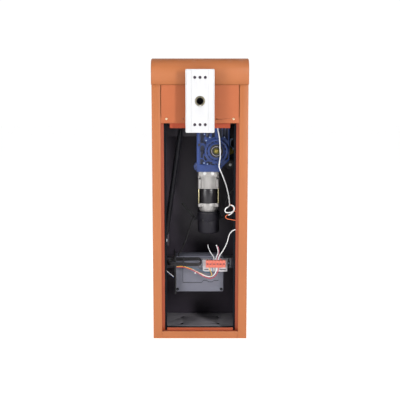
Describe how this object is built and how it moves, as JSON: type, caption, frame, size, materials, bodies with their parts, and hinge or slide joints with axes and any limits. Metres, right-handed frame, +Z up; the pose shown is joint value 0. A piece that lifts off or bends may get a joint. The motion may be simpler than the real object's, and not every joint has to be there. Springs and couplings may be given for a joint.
{
  "type": "parking barrier gate",
  "caption": "Sheet-steel parking barrier cabinet, service door off: geared motor, crank, rod, balance spring and terminals inside, and an arm plate on the boom shaft, gate open.",
  "frame": {"origin": "on the ground, at the centre of the cabinet's footprint", "axes": "+Z up, -Y out of the open service side where the arm plate is, +X to the right seen from there"},
  "size_m": [0.3432, 0.352, 1.0116],
  "materials": {
    "orange_paint": "satin, slightly pebbled powder coat",
    "chassis_paint": "matt black powder coat",
    "base_paint": "matt dark grey, dusty",
    "shelf_zinc": "dull grey",
    "rubber": "matt black",
    "bearing_steel": "bright zinc",
    "gearbox_paint": "blue enamel over casting",
    "cast_aluminium": "bare casting",
    "black_paint": "satin black",
    "yellow_zinc": "yellow passivated zinc",
    "white_paint": "satin white powder coat",
    "bronze": "machined",
    "black_plastic": "moulded",
    "box_paint": "moulded grey",
    "board": "green laminate",
    "rail_zinc": "bright zinc",
    "pale_plastic": "moulded pale grey",
    "coral_plastic": "moulded coral red",
    "white_insulation": "white insulation, darker strands in the bundles",
    "orange_insulation": "orange insulation",
    "black_sheath": "black cable sheath"
  },
  "bodies": {
    "cabinet": {"anchor_bolt": "bearing_steel", "anchor_bracket": "chassis_paint", "back_panel": "chassis_paint", "base_plate": "base_paint", "bottom_rail": "orange_paint", "brake_cable": "black_sheath", "brake_cover": "black_paint", "brake_housing": "black_paint", "buffer_closed": "rubber", "buffer_open": "rubber", "cabinet_shell": "orange_paint", "cable_hank": "black_sheath", "chassis_side_left": "chassis_paint", "chassis_side_right": "chassis_paint", "control_board": "board", "control_box": "box_paint", "control_box_lid": "box_paint", "cross_shelf": "shelf_zinc", "front_bearing": "bearing_steel", "front_bridge": "chassis_paint", "front_panel": "orange_paint", "gearbox_beam": "chassis_paint", "gearbox_cover": "gearbox_paint", "gearbox_housing": "gearbox_paint", "hank_tail": "black_sheath", "hood": "orange_paint", "limit_switch": "black_plastic", "loose_wire": "white_insulation", "lower_wires": "white_insulation", "motor_cable": "black_sheath", "motor_end_bell": "cast_aluminium", "motor_rear_bell": "cast_aluminium", "motor_stator": "black_paint", "mounting_rail": "rail_zinc", "orange_wire": "orange_insulation", "output_seal": "rubber", "rear_bearing": "bearing_steel", "side_lead": "white_insulation", "terminal_block": "coral_plastic", "terminal_carrier": "pale_plastic", "tie_rod_left": "bearing_steel", "tie_rod_right": "bearing_steel", "upper_wires": "white_insulation", "white_lead": "white_insulation"},
    "boom": {"boom_shaft": "yellow_zinc", "shaft_key": "bearing_steel", "arm_plate": "white_paint", "spring_arm": "yellow_zinc", "rod_lever": "yellow_zinc"},
    "crank": {"worm_wheel": "bronze", "output_shaft": "yellow_zinc", "crank": "yellow_zinc", "crank_bolt": "bearing_steel"},
    "rod": {"connecting_rod": "black_paint"},
    "worm": {"worm_shaft": "bearing_steel"},
    "rotor": {"motor_rotor": "bearing_steel"},
    "spring": {"balance_spring": "black_paint"},
    "spring_top": {"spring_hook": "black_paint"},
    "switch_lever": {"switch_lever": "bearing_steel"},
    "brake_lever": {"brake_lever": "black_paint"}
  },
  "joints": [
    {"name": "boom_swing", "type": "hinge", "parent": "cabinet", "child": "boom", "pos_m": [0, 0, 0.864], "axis": [0, 1, 0], "range_deg": [0, 90]},
    {"name": "crank_turn", "type": "hinge", "parent": "cabinet", "child": "crank", "pos_m": [0.06, 0, 0.68], "axis": [0, 1, 0], "range_deg": [0, 90]},
    {"name": "rod_pivot", "type": "hinge", "parent": "crank", "child": "rod", "pos_m": [0.115, 0, 0.62], "axis": [0, 1, 0], "range_deg": [-90, 0]},
    {"name": "worm_turn", "type": "hinge", "parent": "cabinet", "child": "worm", "pos_m": [0.011, 0, 0.68], "axis": [0, 0, 1], "range_deg": [0, 900]},
    {"name": "rotor_turn", "type": "hinge", "parent": "cabinet", "child": "rotor", "pos_m": [0.0318, 0, 0.5], "axis": [0, 0, 1], "range_deg": [-1800, 0]},
    {"name": "spring_lean", "type": "hinge", "parent": "cabinet", "child": "spring", "pos_m": [-0.132, 0, 0.338], "axis": [0, 1, 0], "range_deg": [-1.6, 0]},
    {"name": "spring_stretch", "type": "slide", "parent": "spring", "child": "spring_top", "axis": [0.1414, 0, 0.9899], "range_m": [0, 0.1295], "deforming": ["balance_spring"]},
    {"name": "switch_lever_tilt", "type": "hinge", "parent": "cabinet", "child": "switch_lever", "pos_m": [0.122, 0, 0.717], "axis": [0, 1, 0], "range_deg": [0, 12]},
    {"name": "brake_release", "type": "hinge", "parent": "cabinet", "child": "brake_lever", "pos_m": [-0.0202, 0.0124, 0.4186], "axis": [0, 1, 0], "range_deg": [0, 10], "stiffness_Nm_per_rad": 0.5}
  ],
  "couplings": [
    {"joint": "crank_turn", "follows": "boom_swing", "ratio": 1},
    {"joint": "rod_pivot", "follows": "boom_swing", "ratio": -1},
    {"joint": "worm_turn", "follows": "boom_swing", "ratio": 10},
    {"joint": "rotor_turn", "follows": "boom_swing", "ratio": -20},
    {"joint": "spring_lean", "follows": "boom_swing", "ratio": -0.017528},
    {"joint": "spring_stretch", "follows": "boom_swing", "m_per_rad": 0.082253},
    {"joint": "switch_lever_tilt", "follows": "boom_swing", "ratio": 0.13333}
  ]
}
